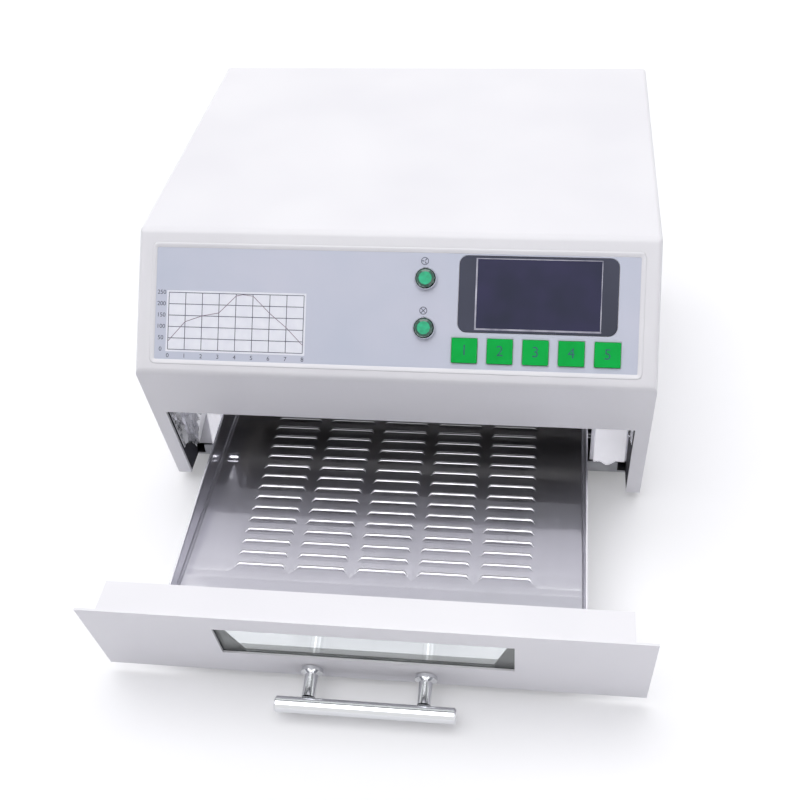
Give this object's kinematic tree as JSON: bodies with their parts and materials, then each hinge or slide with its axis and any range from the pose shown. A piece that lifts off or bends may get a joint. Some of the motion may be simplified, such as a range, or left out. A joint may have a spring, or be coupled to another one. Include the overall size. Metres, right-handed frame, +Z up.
{
  "type": "reflow oven",
  "caption": "Benchtop infrared reflow oven with a sloping control fascia, a sliding louvred soldering drawer with a window and bar handle, heater tubes, and a rear fan.",
  "frame": {"origin": "on the bench, under the middle of the oven's box with the drawer pulled out as pictured", "axes": "+X to the oven's right, +Y towards its back, +Z up"},
  "size_m": [0.31, 0.4456, 0.186],
  "materials": {
    "painted_sheet": "warm white powder coat",
    "painted_inner_sheet": "white enamel",
    "stainless_sheet": "bright rolled",
    "zinc_plated_steel": "zinc plated",
    "chrome_plate": "polished",
    "foil": "crinkled foil",
    "polyester_overlay": "matt printed film",
    "green_key": "satin",
    "smoked_acrylic": "gloss",
    "green_lamp": "moulded clear green",
    "black_rubber": "matt",
    "black_plastic": "satin",
    "black_painted_frame": "matt heat-proof black",
    "red_rocker": "gloss",
    "heat_glass": "clear, slightly green",
    "quartz": "frosted quartz with ceramic ends",
    "ceramic": "unglazed",
    "ceramic_fibre": "felted fibre",
    "circuit_board": "glass-epoxy laminate",
    "laminations": "lacquered"
  },
  "bodies": {
    "case": {"hood": "painted_sheet", "base_pan": "zinc_plated_steel", "rear_panel": "painted_sheet", "foot_front_left": "black_rubber", "foot_front_right": "black_rubber", "foot_rear_left": "black_rubber", "foot_rear_right": "black_rubber", "front_bulkhead": "painted_inner_sheet", "chamber_liner": "stainless_sheet", "chamber_jacket": "zinc_plated_steel", "lamp_reflector": "stainless_sheet", "insulation_blanket": "ceramic_fibre", "heater_tube_1": "quartz", "heater_tube_2": "quartz", "heater_tube_3": "quartz", "heater_tube_4": "quartz", "tube_rack_left": "ceramic", "tube_rack_right": "ceramic", "thermocouple_left": "stainless_sheet", "thermocouple_right": "stainless_sheet", "foil_liner_left": "foil", "foil_liner_right": "foil", "guide_rail_left": "zinc_plated_steel", "guide_rail_right": "zinc_plated_steel", "control_overlay": "polyester_overlay", "display_lens": "smoked_acrylic", "display_module": "zinc_plated_steel", "upper_lamp_bezel": "chrome_plate", "upper_lamp_lens": "green_lamp", "lower_lamp_bezel": "chrome_plate", "lower_lamp_lens": "green_lamp", "control_board": "circuit_board", "board_standoff_1": "zinc_plated_steel", "board_standoff_2": "zinc_plated_steel", "board_standoff_3": "zinc_plated_steel", "board_standoff_4": "zinc_plated_steel", "fan_frame": "black_plastic", "fan_guard": "chrome_plate", "power_inlet": "black_plastic", "switch_frame": "black_plastic", "relay_module": "black_plastic", "transformer": "laminations"},
    "drawer": {"drawer_front": "painted_sheet", "window_glass": "heat_glass", "window_frame": "black_painted_frame", "handle_bar": "chrome_plate", "handle_post_left": "chrome_plate", "handle_post_right": "chrome_plate", "handle_screw_left": "zinc_plated_steel", "handle_screw_right": "zinc_plated_steel", "drawer_tray": "stainless_sheet", "tray_bracket_left": "zinc_plated_steel", "tray_bracket_right": "zinc_plated_steel"},
    "key_1": {"key_1": "green_key"},
    "key_2": {"key_2": "green_key"},
    "key_3": {"key_3": "green_key"},
    "key_4": {"key_4": "green_key"},
    "key_5": {"key_5": "green_key"},
    "fan_rotor": {"fan_rotor": "black_plastic"},
    "switch_rocker": {"switch_rocker": "red_rocker"}
  },
  "joints": [
    {"name": "drawer_slide", "type": "slide", "parent": "case", "child": "drawer", "axis": [0, -1, 0], "range_m": [-0.158, 0.012]},
    {"name": "key_1_press", "type": "slide", "parent": "case", "child": "key_1", "axis": [0, 0.7729, -0.6345], "range_m": [0, 0.0005], "stiffness_N_per_m": 900},
    {"name": "key_2_press", "type": "slide", "parent": "case", "child": "key_2", "axis": [0, 0.7729, -0.6345], "range_m": [0, 0.0005], "stiffness_N_per_m": 900},
    {"name": "key_3_press", "type": "slide", "parent": "case", "child": "key_3", "axis": [0, 0.7729, -0.6345], "range_m": [0, 0.0005], "stiffness_N_per_m": 900},
    {"name": "key_4_press", "type": "slide", "parent": "case", "child": "key_4", "axis": [0, 0.7729, -0.6345], "range_m": [0, 0.0005], "stiffness_N_per_m": 900},
    {"name": "key_5_press", "type": "slide", "parent": "case", "child": "key_5", "axis": [0, 0.7729, -0.6345], "range_m": [0, 0.0005], "stiffness_N_per_m": 900},
    {"name": "fan_spin", "type": "hinge", "parent": "case", "child": "fan_rotor", "pos_m": [-0.055, 0.2034, 0.0625], "axis": [0, 1, 0], "continuous": true},
    {"name": "switch_rock", "type": "hinge", "parent": "case", "child": "switch_rocker", "pos_m": [0.095, 0.21914, 0.092], "axis": [1, 0, 0], "range_deg": [0, 16]}
  ]
}
